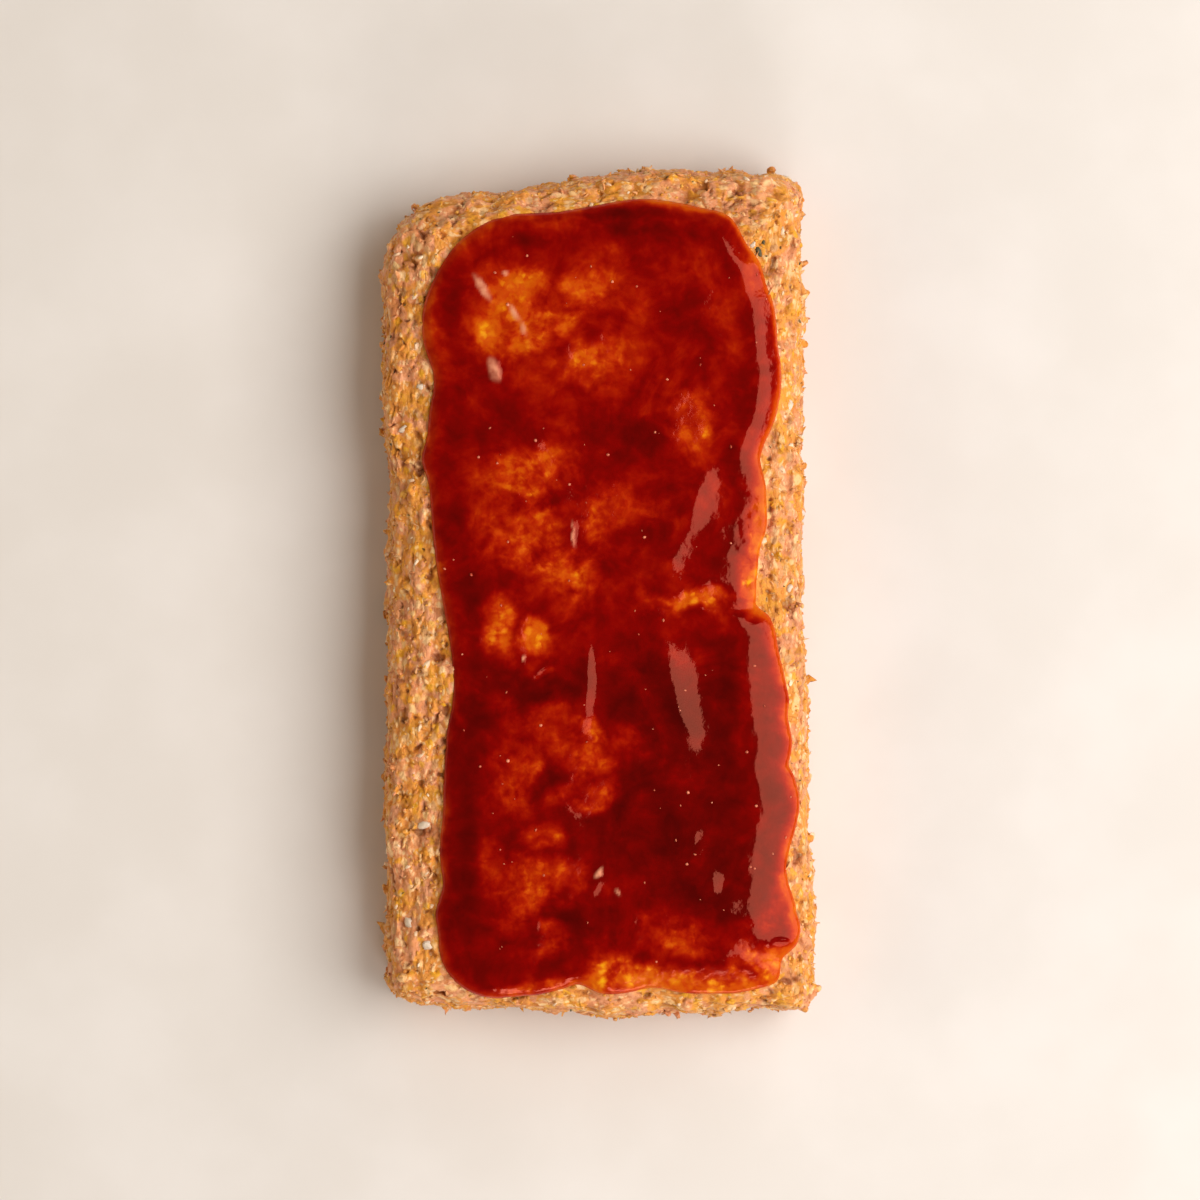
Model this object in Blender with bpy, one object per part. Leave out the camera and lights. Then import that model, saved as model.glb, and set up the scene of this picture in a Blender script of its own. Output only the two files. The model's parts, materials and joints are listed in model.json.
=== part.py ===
"""A raw meatloaf patted into a long block by hand, with tomato glaze spread over its top.

Metres, +Z up. The loaf lies on its flat base, with its length along Y and its back end at +Y.
"""

import math
import random

import bmesh
import bpy
from mathutils import Euler, Matrix, Vector, noise
from mathutils.bvhtree import BVHTree

HEIGHT = 0.0380
SHOULDER_HEIGHT = 0.0335
WAIST_HEIGHT = 0.0100

# The wall leans in below its waist, and bows over into the top above it.
BASE_TUCK = 0.0020
SHOULDER_INSET = 0.0056
WALL_BOW = 2.8
WALL_ROWS = 8
# Rings on the top between the shoulder and the middle, by how far in they lie.
BORDER_STEPS = (0.0030, 0.0068, 0.0112, 0.0160)
CROWN_BOW = 7.0

# A corner: its place, and the radius of its bend. Anticlockwise from the back left.
LOAF_CORNERS = (
    (-0.0712, 0.1300, 0.0230),
    (-0.0702, -0.1368, 0.0070),
    (0.0714, -0.1376, 0.0056),
    (0.0656, 0.1354, 0.0082),
)
# A push on an outline: its place, how far out it goes, and how wide it reaches.
LOAF_PUSHES = (
    (0.024, 0.134, 0.0060, 0.042),
    (0.006, -0.137, 0.0032, 0.048),
    (-0.070, 0.020, -0.0012, 0.030),
    (0.069, 0.004, -0.0014, 0.026),
)
LOAF_AROUND = 196
LOAF_CELL = 0.0110

GLAZE_CORNERS = (
    (-0.0580, 0.1255, 0.0370),
    (-0.0530, -0.1340, 0.0170),
    (0.0650, -0.1330, 0.0200),
    (0.0595, 0.1280, 0.0360),
)
# The spoon pushed the glaze out into lobes, and left a bay down each long side.
GLAZE_PUSHES = (
    (0.014, 0.127, 0.0016, 0.018),
    (-0.018, 0.127, -0.0014, 0.012),
    (-0.057, 0.070, -0.0026, 0.008),
    (-0.055, -0.030, -0.0068, 0.034),
    (-0.054, -0.068, -0.0016, 0.014),
    (-0.054, -0.100, -0.0026, 0.009),
    (0.061, 0.047, -0.0050, 0.012),
    (0.061, 0.028, -0.0042, 0.014),
    (0.062, 0.006, -0.0070, 0.013),
    (0.062, -0.003, -0.0052, 0.004),
    (0.063, -0.016, -0.0032, 0.012),
    (0.064, -0.070, 0.0032, 0.009),
    (0.064, -0.092, -0.0024, 0.007),
    (0.065, -0.112, 0.0028, 0.008),
    (-0.010, -0.134, -0.0024, 0.006),
    (0.018, -0.133, -0.0028, 0.006),
)
GLAZE_AROUND = 144
GLAZE_CELL = 0.0100
GLAZE_THICKNESS = 0.0027
GLAZE_THINNEST = 0.0013
# The sauce levels out over dips and humps that are narrower than this.
GLAZE_LEVELS_OVER = 0.0070
SWIRL_SIZE = 0.0220
SWIRL_HEIGHT = 0.0006
# The round rim of the glaze: how far in from its edge, and its share of the full thickness.
RIM_STEPS = ((0.0005, 0.60), (0.0018, 0.98), (0.0042, 1.08), (0.0080, 1.0))
RIM_BURY = 0.0014
GAP = 0.0003

# Low mounds of mince that stand up under the glaze: place, height and reach.
MOUNDS = (
    (-0.024, 0.098, 0.0013, 0.018),
    (-0.001, 0.103, 0.0009, 0.010),
    (0.030, 0.058, 0.0009, 0.009),
    (-0.022, 0.040, 0.0012, 0.012),
    (-0.028, 0.015, 0.0011, 0.014),
    (0.030, -0.002, 0.0010, 0.011),
    (-0.034, -0.012, 0.0010, 0.009),
    (-0.016, -0.046, 0.0012, 0.014),
    (-0.022, -0.093, 0.0012, 0.014),
    (0.012, -0.122, 0.0010, 0.014),
)

LUMP_SIZE = 0.021
LUMP_HEIGHT = 0.0019
CRAG_SIZE = 0.0080
CRAG_HEIGHT = 0.0017
# The crags are pressed flatter under the glaze than on the bare sides.
PRESSED = 0.45

# Crumbs and ends of mince that stand proud of the bare meat.
CRUMB_COUNT = 96
CRUMB_SEED = 11
CRUMB_LONGEST = 0.0070
CRUMB_SHORTEST = 0.0028
CRUMB_SLIMNESS = (0.40, 0.75)
CRUMB_SUNK = 0.30
CRUMB_LOWEST = 0.0055
CRUMB_CLEAR = 0.0050
# Steps round the loaf and up its side that never fall into line with each other.
STEP_AROUND = 0.754878
STEP_UP = 0.569840
# The share of the crumbs that lie on the wall, and how far in the rest come over the shoulder.
SHARE_ON_WALL = 0.66
CRUMB_REACH_IN = 0.11

# The height at which a flat top is cut into cells before it is laid on its surface.
CUT_HEIGHT = 3 * HEIGHT


def clear_scene():
    for old in list(bpy.data.objects):
        bpy.data.objects.remove(old)


def new_collection(name):
    collection = bpy.data.collections.new(name)
    bpy.context.scene.collection.children.link(collection)
    return collection


def new_material(name, colour, roughness):
    material = bpy.data.materials.new(name)
    material.use_nodes = True
    shader = material.node_tree.nodes["Principled BSDF"]
    shader.inputs["Base Color"].default_value = (*colour, 1.0)
    shader.inputs["Roughness"].default_value = roughness
    shader.inputs["Metallic"].default_value = 0.0
    return material


def raw_meat():
    return new_material("raw_meat", (0.50, 0.24, 0.12), 0.45)


def tomato_glaze():
    return new_material("tomato_glaze", (0.22, 0.006, 0.002), 0.12)


def corner_arc(before, corner, after, radius, bends=12):
    """Points round the arc that takes the place of a sharp corner."""
    to_before = (before - corner).normalized()
    to_after = (after - corner).normalized()
    half = to_before.angle(to_after) / 2
    centre = corner + (to_before + to_after).normalized() * (radius / math.sin(half))
    reach = radius / math.tan(half)
    first = corner + to_before * reach - centre
    last = corner + to_after * reach - centre
    return [centre + first.slerp(last, k / bends).normalized() * radius for k in range(bends + 1)]


def evenly_spaced(path, count):
    """The closed path walked in equal steps."""
    closed = path + path[:1]
    marks = [0.0]
    for here, there in zip(closed, closed[1:]):
        marks.append(marks[-1] + (there - here).length)
    walked = []
    side = 0
    for k in range(count):
        goal = marks[-1] * k / count
        while marks[side + 1] < goal:
            side += 1
        share = (goal - marks[side]) / (marks[side + 1] - marks[side])
        walked.append(closed[side].lerp(closed[side + 1], share))
    return walked


def outward(path):
    """The outward direction at each point of a closed path that runs anticlockwise."""
    turned = []
    for k in range(len(path)):
        along = path[(k + 1) % len(path)] - path[k - 1]
        turned.append(Vector((along.y, -along.x)).normalized())
    return turned


def bell(offset, reach):
    return math.exp(-((offset.length / reach) ** 2))


def hand_outline(corners, pushes, count):
    """A four-cornered outline with round corners, pushed out and in as a hand leaves it."""
    places = [Vector((x, y)) for x, y, _ in corners]
    path = []
    for k, (_, _, radius) in enumerate(corners):
        path += corner_arc(places[k - 1], places[k], places[(k + 1) % 4], radius)
    path = evenly_spaced(path, count)
    pushed = []
    for point, out in zip(path, outward(path)):
        shift = sum(h * bell(point - Vector((x, y)), reach) for x, y, h, reach in pushes)
        pushed.append(point + out * shift)
    return evenly_spaced(pushed, count)


def half_size(path):
    return max(abs(p.x) for p in path), max(abs(p.y) for p in path)


def shrunk(path, distance):
    """The outline drawn in towards its middle by about a distance on every side."""
    half_x, half_y = half_size(path)
    return [Vector((p.x * (1 - distance / half_x), p.y * (1 - distance / half_y))) for p in path]


def wall_inset(height):
    """How far the wall stands in from the widest outline at a height."""
    if height < WAIST_HEIGHT:
        return BASE_TUCK * (1 - height / WAIST_HEIGHT) ** 2
    share = min((height - WAIST_HEIGHT) / (SHOULDER_HEIGHT - WAIST_HEIGHT), 1.0)
    return SHOULDER_INSET * (1 - (1 - share**WALL_BOW) ** (1 / WALL_BOW))


def at_height(path, height):
    return [(p.x, p.y, height) for p in path]


def loaf_top(x, y, half_x, half_y):
    """The height of the patted top, before the crags of the mince."""
    across = min(abs(x) / half_x, 1.0)
    along = min(abs(y) / half_y, 1.0)
    rise = (1 - across**CROWN_BOW) * (1 - along ** (2 * CROWN_BOW))
    place = Vector((x, y))
    humps = sum(h * bell(place - Vector((u, v)), reach) for u, v, h, reach in MOUNDS)
    return SHOULDER_HEIGHT + (HEIGHT - SHOULDER_HEIGHT) * rise + humps


def relief(place):
    """The unevenness of patted mince: broad lumps with crags over them."""
    lumps = noise.noise(place / LUMP_SIZE)
    crags = noise.fractal(place / CRAG_SIZE, 0.7, 2.0, 2)
    return LUMP_HEIGHT * lumps + CRAG_HEIGHT * crags


def stacked_body(rings, middle, cell, height_at):
    """A closed body on its first ring. Its top is cut into cells, then laid at its height."""
    body = bmesh.new()
    bmesh.ops.create_circle(body, cap_ends=True, segments=len(middle))
    body.faces.ensure_lookup_table()
    top = body.faces[0]
    move_face(top, rings[0])
    for row, ring in enumerate([*rings[1:], at_height(middle, CUT_HEIGHT)]):
        below = top
        grown = bmesh.ops.extrude_face_region(body, geom=[below])
        top = next(g for g in grown["geom"] if isinstance(g, bmesh.types.BMFace))
        if row > 0:
            bmesh.ops.delete(body, geom=[below], context="FACES_ONLY")
        move_face(top, ring)
    cut_into_cells(body, half_size(middle), cell)
    for vert in body.verts:
        if vert.co.z > CUT_HEIGHT / 2:
            vert.co.z = height_at(vert.co.x, vert.co.y)
    bmesh.ops.triangulate(body, faces=body.faces)
    bmesh.ops.recalc_face_normals(body, faces=body.faces)
    return body


def move_face(face, places):
    for vert, place in zip(face.verts, places):
        vert.co = place


def cut_into_cells(body, reach, cell):
    """Slices the raised flat top lengthways and across."""
    for axis, normal in enumerate((Vector((1, 0, 0)), Vector((0, 1, 0)))):
        slices = int(reach[axis] / cell)
        for k in range(-slices, slices + 1):
            faces = [f for f in body.faces if min(v.co.z for v in f.verts) > CUT_HEIGHT / 2]
            edges = {e for f in faces for e in f.edges}
            verts = {v for f in faces for v in f.verts}
            bmesh.ops.bisect_plane(
                body,
                geom=[*faces, *edges, *verts],
                dist=1e-6,
                plane_co=normal * k * cell,
                plane_no=normal,
            )


def as_object(body, name, collection):
    mesh = bpy.data.meshes.new(name)
    body.to_mesh(mesh)
    body.free()
    made = bpy.data.objects.new(name, mesh)
    collection.objects.link(made)
    return made


def apply_boolean(target, operation, solver, **operand):
    """Adds a Boolean to an object and keeps its result as the object's mesh."""
    cut = target.modifiers.new("cut", "BOOLEAN")
    cut.operation = operation
    cut.solver = solver
    for name, value in operand.items():
        setattr(cut, name, value)
    result = target.evaluated_get(bpy.context.evaluated_depsgraph_get())
    mesh = bpy.data.meshes.new_from_object(result)
    target.modifiers.remove(cut)
    target.data = mesh


def make_bare_loaf(outline, glaze_outline, collection):
    """The patted block: a flat base, bowed walls and a low crown, all uneven."""
    rings = []
    for row in range(WALL_ROWS + 1):
        height = SHOULDER_HEIGHT * math.sin(row / WALL_ROWS * math.pi / 2)
        rings.append(at_height(shrunk(outline, wall_inset(height)), height))
    top_outline = shrunk(outline, SHOULDER_INSET)
    half_x, half_y = half_size(top_outline)
    for step in BORDER_STEPS[:-1]:
        ring = shrunk(top_outline, step)
        rings.append([(p.x, p.y, loaf_top(p.x, p.y, half_x, half_y)) for p in ring])
    middle = shrunk(top_outline, BORDER_STEPS[-1])
    body = stacked_body(rings, middle, LOAF_CELL, lambda x, y: loaf_top(x, y, half_x, half_y))
    body.normal_update()
    pushes = []
    for vert in body.verts:
        press = PRESSED if vert.co.z > SHOULDER_HEIGHT and inside(vert.co.xy, glaze_outline) else 1.0
        push = vert.normal * relief(vert.co) * press
        if vert.co.z == 0.0:
            push.z = 0.0
        pushes.append(push)
    for vert, push in zip(body.verts, pushes):
        vert.co += push
    return as_object(body, "loaf", collection)


def inside(point, path):
    """Whether a point of the plan lies within a closed path, by the crossings to its right."""
    crossings = 0
    for here, there in zip(path, path[1:] + path[:1]):
        if (here.y > point.y) != (there.y > point.y):
            meets = here.x + (point.y - here.y) / (there.y - here.y) * (there.x - here.x)
            crossings += meets > point.x
    return crossings % 2 == 1


def surface_of(body):
    return BVHTree.FromObject(body, bpy.context.evaluated_depsgraph_get())


def profile_place(out_point, share):
    """A place on the bare meat: up the wall for the first shares, then in over the shoulder."""
    if share < SHARE_ON_WALL:
        height = CRUMB_LOWEST + (SHOULDER_HEIGHT - CRUMB_LOWEST) * share / SHARE_ON_WALL
        return Vector((out_point.x, out_point.y, height))
    inward = 1 - CRUMB_REACH_IN * (share - SHARE_ON_WALL) / (1 - SHARE_ON_WALL)
    return Vector((out_point.x * inward, out_point.y * (1 + inward) / 2, HEIGHT))


def make_crumb(surface, place, length, draw, collection):
    """One crumb, sunk a little into the meat where it lies."""
    spot, normal, _, _ = surface.find_nearest(place)
    crumb = bmesh.new()
    bmesh.ops.create_icosphere(crumb, subdivisions=1, radius=length / 2)
    slim = draw.uniform(*CRUMB_SLIMNESS)
    squash = Matrix.Diagonal((1.0, slim, slim * draw.uniform(0.8, 1.0), 1.0))
    lean = Euler((draw.uniform(0, math.tau), draw.uniform(-0.7, 0.7), draw.uniform(0, math.tau)))
    turn = normal.to_track_quat("Z", "Y").to_matrix().to_4x4()
    rise = length * slim * (0.5 - CRUMB_SUNK)
    place = Matrix.Translation(spot + normal * rise)
    bmesh.ops.transform(crumb, matrix=place @ turn @ lean.to_matrix().to_4x4() @ squash, verts=crumb.verts)
    as_object(crumb, "crumb", collection)


def add_crumbs(loaf, outline, glaze_outline, crumbs):
    """Joins crumbs to the bare meat, the largest first, in even steps round the loaf."""
    draw = random.Random(CRUMB_SEED)
    surface = surface_of(loaf)
    no_go = [point + out * CRUMB_CLEAR for point, out in zip(glaze_outline, outward(glaze_outline))]
    for k in range(CRUMB_COUNT):
        size = CRUMB_LONGEST + (CRUMB_SHORTEST - CRUMB_LONGEST) * (k / CRUMB_COUNT) ** 0.6
        around = (k * STEP_AROUND) % 1.0
        share = (k * STEP_UP) % 1.0
        place = profile_place(outline[int(around * len(outline))], share)
        if not inside(place.xy, no_go):
            make_crumb(surface, place, size, draw, crumbs)
    apply_boolean(loaf, "UNION", "MANIFOLD", operand_type="COLLECTION", collection=crumbs)
    for crumb in list(crumbs.objects):
        bpy.data.objects.remove(crumb)


def make_glaze(outline, loaf, collection, cutters):
    """The glaze is a sheet laid over the loaf, cut underneath by the loaf raised by the gap."""
    surface = surface_of(loaf)

    def meat_height(x, y):
        return surface.ray_cast(Vector((x, y, CUT_HEIGHT)), Vector((0, 0, -1)))[0].z

    def level(x, y):
        """The height that sauce settles to over the meat round a place."""
        heights = [meat_height(x, y)]
        for k in range(6):
            turn = k * math.tau / 6
            side = Vector((x, y)) + GLAZE_LEVELS_OVER * Vector((math.cos(turn), math.sin(turn)))
            if inside(side, outline):
                heights.append(meat_height(side.x, side.y))
        return sum(heights) / len(heights)

    def glaze_top(x, y, share=1.0):
        swirl = SWIRL_HEIGHT * noise.noise(Vector((x, y, 0)) / SWIRL_SIZE)
        poured = level(x, y) + GLAZE_THICKNESS + swirl
        thickness = max(poured - meat_height(x, y), GLAZE_THINNEST)
        return meat_height(x, y) + thickness * share

    rings = [at_height(outline, HEIGHT / 2)]
    rings.append([(p.x, p.y, meat_height(p.x, p.y) - RIM_BURY) for p in outline])
    for distance, share in RIM_STEPS[:-1]:
        ring = shrunk(outline, distance)
        rings.append([(p.x, p.y, glaze_top(p.x, p.y, share)) for p in ring])
    body = stacked_body(rings, shrunk(outline, RIM_STEPS[-1][0]), GLAZE_CELL, glaze_top)
    glaze = as_object(body, "glaze", collection)

    raised = bpy.data.objects.new("raised_loaf", loaf.data.copy())
    raised.data.transform(Matrix.Translation((0, 0, GAP)))
    raised.hide_render = True
    raised.display_type = "WIRE"
    cutters.objects.link(raised)
    apply_boolean(glaze, "DIFFERENCE", "EXACT", object=raised)
    bpy.data.objects.remove(raised)
    return glaze


def centre_on_base(loaf, pieces):
    """Sets every piece so that the middle of the loaf's base is the origin."""
    corners = [Vector(c) for c in loaf.bound_box]
    low = Vector(min(c[k] for c in corners) for k in range(3))
    high = Vector(max(c[k] for c in corners) for k in range(3))
    shift = Matrix.Translation((-(low.x + high.x) / 2, -(low.y + high.y) / 2, -low.z))
    for piece in pieces:
        piece.data.transform(shift)


def finish_piece(piece, material):
    piece.data.materials.clear()
    piece.data.materials.append(material)
    piece.data.shade_smooth()


def main():
    clear_scene()
    meatloaf = new_collection("meatloaf")
    cutters = new_collection("cutters")
    crumbs = new_collection("crumbs")
    outline = hand_outline(LOAF_CORNERS, LOAF_PUSHES, LOAF_AROUND)
    glaze_outline = hand_outline(GLAZE_CORNERS, GLAZE_PUSHES, GLAZE_AROUND)
    loaf = make_bare_loaf(outline, glaze_outline, meatloaf)
    add_crumbs(loaf, outline, glaze_outline, crumbs)
    glaze = make_glaze(glaze_outline, loaf, meatloaf, cutters)
    centre_on_base(loaf, (loaf, glaze))
    finish_piece(loaf, raw_meat())
    finish_piece(glaze, tomato_glaze())


main()
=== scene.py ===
"""The looks of a raw, hand-patted meatloaf under a spread of wet tomato glaze.

Metres, +Z up. The length of the loaf runs along Y, with its back end at +Y.
"""

import json
import math
import random

import bmesh
import bpy
import numpy as np
from mathutils import Matrix, Vector, noise
from mathutils.bvhtree import BVHTree

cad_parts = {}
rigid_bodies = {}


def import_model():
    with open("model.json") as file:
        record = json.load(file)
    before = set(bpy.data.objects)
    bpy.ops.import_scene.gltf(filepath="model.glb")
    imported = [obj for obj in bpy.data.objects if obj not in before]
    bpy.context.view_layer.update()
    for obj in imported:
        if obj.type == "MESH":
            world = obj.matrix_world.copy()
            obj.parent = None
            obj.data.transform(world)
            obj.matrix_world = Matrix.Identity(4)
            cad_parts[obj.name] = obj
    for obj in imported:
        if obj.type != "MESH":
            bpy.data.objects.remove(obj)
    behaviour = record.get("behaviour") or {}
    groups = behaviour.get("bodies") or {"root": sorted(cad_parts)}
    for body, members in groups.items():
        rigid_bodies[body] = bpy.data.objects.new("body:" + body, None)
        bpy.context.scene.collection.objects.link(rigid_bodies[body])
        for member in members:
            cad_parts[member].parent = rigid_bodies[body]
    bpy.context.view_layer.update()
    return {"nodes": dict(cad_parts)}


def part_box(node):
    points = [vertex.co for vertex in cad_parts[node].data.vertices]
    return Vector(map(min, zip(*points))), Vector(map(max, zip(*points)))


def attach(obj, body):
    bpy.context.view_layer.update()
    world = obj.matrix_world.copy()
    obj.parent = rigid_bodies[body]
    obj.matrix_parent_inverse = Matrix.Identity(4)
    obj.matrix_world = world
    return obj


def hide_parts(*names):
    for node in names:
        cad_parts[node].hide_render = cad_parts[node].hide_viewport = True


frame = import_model()

MM = 0.001

# The meat that shows is remeshed finely, and its relief is laid on in layers.
MEAT_GRAIN = 0.54 * MM
MEAT_TRIANGLES = 192_000
HIDDEN_INSET = 6.0 * MM
FLAT_BASE = 0.25 * MM
RELIEF = {
    "Lump height": 2.4 * MM,
    "Nodule height": 1.8 * MM,
    "Crumb height": 0.75 * MM,
    "Pit depth": 1.6 * MM,
}
NODULE_SIZE = 2.9 * MM
STRAND_SIZE = 1.35 * MM
CRUMB_SIZE = 1.2 * MM
PIT_SIZE = 4.6 * MM
CLEFT_SIZE = 4.2 * MM
# How much of the relief stays under the rim of the glaze.
RELIEF_UNDER_RIM = 0.35
# The grains are drawn out along the nearest wall, and this near a corner both ways are blended.
DRAWN_OUT = 0.38
WALL_BLEND = 8.0 * MM

# Loose bits lie above the foot of the walls, and torn flakes just at it.
BITS_LOWEST = 2.0 * MM
FOOT_LOWEST = 1.9 * MM
FOOT_HIGHEST = 9.0 * MM
# The shapes of loose bits: how many, their length, width and thickness in millimetres, their sides,
# their bend and how ragged they are.
BIT_SHAPES = {
    "mince_ends": (8, 4.0, 1.7, 1.2, 6, 0.5, 0.5),
    "mince_shreds": (8, 3.4, 0.8, 0.6, 5, 0.7, 0.6),
    "torn_flakes": (8, 3.8, 2.2, 0.9, 7, 0.8, 0.9),
    "golden_crumbs": (8, 1.5, 1.2, 0.9, 5, 0.0, 0.7),
    "onion_bits": (6, 3.0, 2.0, 1.2, 7, 0.3, 0.5),
    "herb_specks": (5, 1.3, 0.7, 0.3, 5, 0.0, 0.3),
    "glaze_bubbles": (3, 1.0, 1.0, 0.5, 6, 0.0, 0.1),
}
# How they are strewn: the inputs of the tree, and their values for each piece.
BIT_INPUTS = ("Room", "Spacing", "Density", "Clump", "Smallest", "Largest", "Lift", "Lean", "Seed")
BITS_STREWN = {
    "mince_ends": ("room", 2.6 * MM, 6.5e4, 0.75, 0.40, 1.15, -0.2 * MM, 0.35, 3),
    "mince_shreds": ("room", 2.8 * MM, 1.6e4, 0.60, 0.40, 1.15, 0.2 * MM, 0.80, 11),
    "torn_flakes": ("foot", 4.0 * MM, 2.2e4, 0.50, 0.40, 1.20, 0.6 * MM, 1.20, 92),
    "golden_crumbs": ("room", 1.2 * MM, 9.0e4, 0.92, 0.35, 1.10, 0.0, 0.90, 21),
    "onion_bits": ("room", 4.0 * MM, 7.0e3, 0.50, 0.40, 1.10, -0.2 * MM, 0.35, 44),
    "herb_specks": ("room", 2.5 * MM, 7.0e3, 0.80, 0.35, 1.15, 0.3 * MM, 0.30, 63),
    "glaze_bubbles": ("room", 0.9 * MM, 5.5e3, 0.70, 0.35, 1.20, 0.0, 0.10, 80),
}
# A larger chip's tone between its finish's two colours, and how much more level it lies than the meat.
CHIP_TONE = 0.6
CHIP_LEVEL = 1.5

# The glaze: its mesh, its thickness, and how its round rim meets the meat.
GLAZE_GRAIN = 0.62 * MM
SLAB_HALF = 1.5 * GLAZE_GRAIN
GLAZE_FULL = 2.5 * MM
GLAZE_LEAST = 0.25 * MM
GLAZE_SUNK = 2.4 * MM
RIM_WIDTH = (3.6 * MM, 6.8 * MM, 11.0 * MM)
RIM_START = 0.42
RIM_SWELL = (0.20 * MM, 0.85 * MM, 1.0 * MM)
RIM_ROUND = 1.7
# The paler edge on the left and on the right: how wide it is, and how much sauce is left there. The right's
# paler, wider edge is partly painted light, the glow of sauce lit from that side.
RIM_PALE = (4.5 * MM, 5.4 * MM)
RIM_FILM = (0.53, 0.24)
# On the right it gets narrower towards the back, between these places along the loaf.
RIM_PALE_BACK = (30.0 * MM, 80.0 * MM)
RIM_PALE_LOSS = 0.55
# The right and the front of the glaze begin gradually, between these places.
RIGHT_FROM = (-10.0 * MM, 45.0 * MM)
FRONT_FROM = (-35.0 * MM, -2.0 * MM)
# The waist on the right, where the sauce runs out flat: from where to where along the loaf.
WAIST = (-6.0 * MM, 4.0 * MM, 38.0 * MM, 50.0 * MM)
WAIST_EDGE = 0.95
TROUGH_AT = 9.0 * MM
TROUGH_DEPTH = 0.55
OUTLINE_POINTS = 420
# The map of the meat's top: its pitch, then its margin, blur and blur's reach in cells, and the
# share of the loaf's height above which a place counts as its top.
MAP_PITCH = 2.0 * MM
MAP_MARGIN = 4
MAP_BLUR = 2.6
MAP_REACH = 12
MAP_LOWEST = 0.82

# How much more sauce lies at the front and how much less at the back, and from where to where.
FRONT_DEEPER = 0.42 * MM
FRONT_DEEPER_AT = (15.0 * MM, 60.0 * MM, 104.0 * MM, 121.0 * MM)
BACK_THINNER = 0.38 * MM
BACK_THINNER_AT = (20.0 * MM, 75.0 * MM)
# How much lower the surface lies, and how much less sauce counts for the colour, where it is thin.
THIN_SINKS = 0.8 * MM
THIN_LOSES = 2.15 * MM
# How much of a spoon mark's height counts for the colour.
MARKS_IN_FILM = 0.35
# A slow swell of the surface: its size, its height and its seed.
SWIRLS = ((24 * MM, 0.26 * MM, 2.2), (7 * MM, 0.06 * MM, 4.4))
# How far crumbs under thin sauce and the pale shreds lift it.
CRUMBS_LIFT = 0.22 * MM
SHREDS_LIFT = 0.2 * MM

# A thin place in the glaze: its middle, its reach across and along, and how thin it is.
THIN_PLACES = (
    (-24, 93, 19, 19, 0.50),
    (-27, 101, 11, 7, 0.60),
    (-22, 84, 10, 8, 0.62),
    (-36, 84, 8, 7, 0.52),
    (-1, 101, 15, 11, 0.44),
    (-2, 76, 15, 7, 0.54),
    (-22, 41, 18, 9, 0.60),
    (-25, 36, 9, 3.5, 0.74),
    (30, 58, 8, 11, 0.60),
    (5, 28, 17, 9, 0.50),
    (-26, 20, 17, 16, 0.54),
    (-14, 8, 17, 13, 0.52),
    (51, 12, 7, 19, 0.80),
    (30, -1, 18, 5, 0.68),
    (-33, -11, 8, 11, 0.70),
    (-22, -14, 6, 6, 0.60),
    (-18, -23, 4, 2, 0.58),
    (-16, -44, 20, 10, 0.36),
    (-2, -44, 6, 6, 0.70),
    (-4, -55, 8, 13, 0.60),
    (-27, -62, 11, 14, 0.54),
    (-4, -68, 11, 7, 0.62),
    (-20, -80, 9, 9, 0.55),
    (-24, -97, 14, 13, 0.60),
    (-12, -93, 9, 7, 0.54),
    (-16, -114, 6, 7, 0.56),
    (-35, -87, 6, 6, 0.44),
    (12, -48, 12, 9, 0.48),
    (26, -112, 15, 9, 0.58),
    (9, -126, 15, 8, 0.92),
    (34, -128, 24, 8, 0.80),
    (56, -123, 10, 9, 0.78),
    (58, -104, 6, 9, 0.56),
    (-29, -131, 13, 5, 0.56),
    (-13, -131, 6, 4, 0.70),
)
# A dark hollow where the sauce lies deep: its middle, its reach and how much deeper it is.
DEEP_PLACES = (
    (-17, -62, 7, 6, 0.9),
    (10, 119, 22, 5, 0.7),
    (-2, 126, 34, 5, 1.3),
    (30, 84, 14, 14, 0.6),
    (-34, 60, 12, 12, 0.5),
    (4, 52, 30, 8, 0.6),
    (-20, 29, 16, 3, 0.6),
    (-8, 16, 6, 5, 0.6),
    (-28, -30, 12, 9, 0.6),
    (-16, -32, 9, 6, 0.8),
    (14, -76, 26, 16, 0.7),
    (40, -28, 10, 22, 0.8),
    (45, -84, 10, 10, 0.6),
    (-10, -107, 10, 8, 0.6),
    (28, -96, 12, 8, 0.4),
    (26, -62, 34, 44, 0.45),
)
# A pale shred of meat or onion just under the surface, and a few painted highlights drawn the same way: its
# middle, reach, and turn in degrees.
PALE_SHREDS_AND_HIGHLIGHTS = (
    (-38.5, 101, 1.5, 5.2, 32),
    (-28, 92.5, 1.1, 3.6, 35),
    (-25, 87.5, 1, 2.6, 25),
    # This row and the next paint highlights, not shreds.
    (-34.8, 74, 2, 4.4, 18),
    (-8.6, 20, 0.55, 4.4, 6),
    (-25, -21, 0.6, 1.2, 0),
    (-31, 106, 0.8, 1.5, 60),
    (0, -92, 0.9, 2.2, -30),
    (6, -98, 0.8, 1.6, 40),
)
# A crevice sunk into the bare meat, darkened by the painted shade on low relief: its middle, its reach across
# and along, and its turn in degrees.
CREVICES = (
    (-59.6, 51.3, 1.6, 5, 20),
    (-54, 105.5, 2.2, 3.4, 35),
    (-62, 108.5, 1.4, 1.8, 0),
    (-53, -21, 1.8, 2.4, 0),
    (-50.5, -38, 1.6, 2.8, 15),
    (-50, -48, 2, 2.2, 0),
    (-58, -70, 1.2, 2.6, -20),
    (38, 124, 1.6, 1.4, 0),
)
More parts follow.
